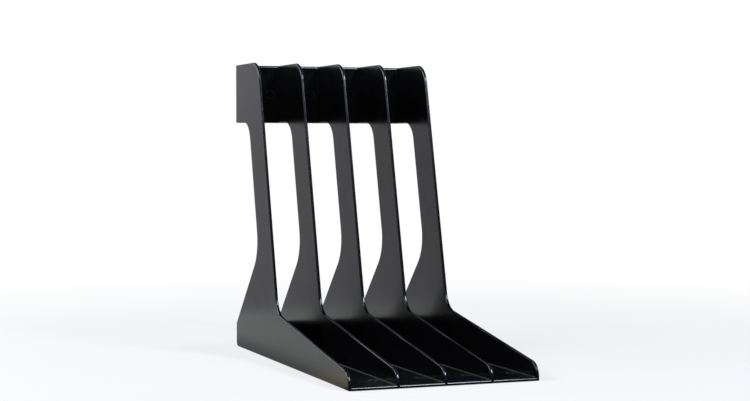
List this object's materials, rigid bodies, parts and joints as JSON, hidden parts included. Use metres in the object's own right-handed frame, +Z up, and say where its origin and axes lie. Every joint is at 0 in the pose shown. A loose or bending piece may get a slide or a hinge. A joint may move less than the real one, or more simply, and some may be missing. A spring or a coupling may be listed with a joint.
{
  "type": "record storage stand",
  "caption": "Open stand that holds records on edge in narrow bays: upright fins with long low toes, joined by floors, low upstands and a band at the back.",
  "frame": {"origin": "middle of the underside, on the surface that the stand rests on", "axes": "+X along the row of fins, to the right seen from the front; +Y from the open front to the back; +Z up"},
  "size_m": [0.179, 0.337, 0.2885],
  "materials": {
    "moulding": "satin black",
    "link": "satin black"
  },
  "bodies": {
    "root": {"end_panel": "moulding", "divider_1": "moulding", "divider_2": "moulding", "divider_3": "moulding", "divider_4": "moulding", "front_link_1": "link", "front_link_2": "link", "front_link_3": "link", "front_end_link": "link", "rear_link_1": "link", "rear_link_2": "link", "rear_link_3": "link", "rear_end_link": "link", "back_link_1": "link", "back_link_2": "link", "back_link_3": "link", "back_end_link": "link"}
  },
  "joints": []
}
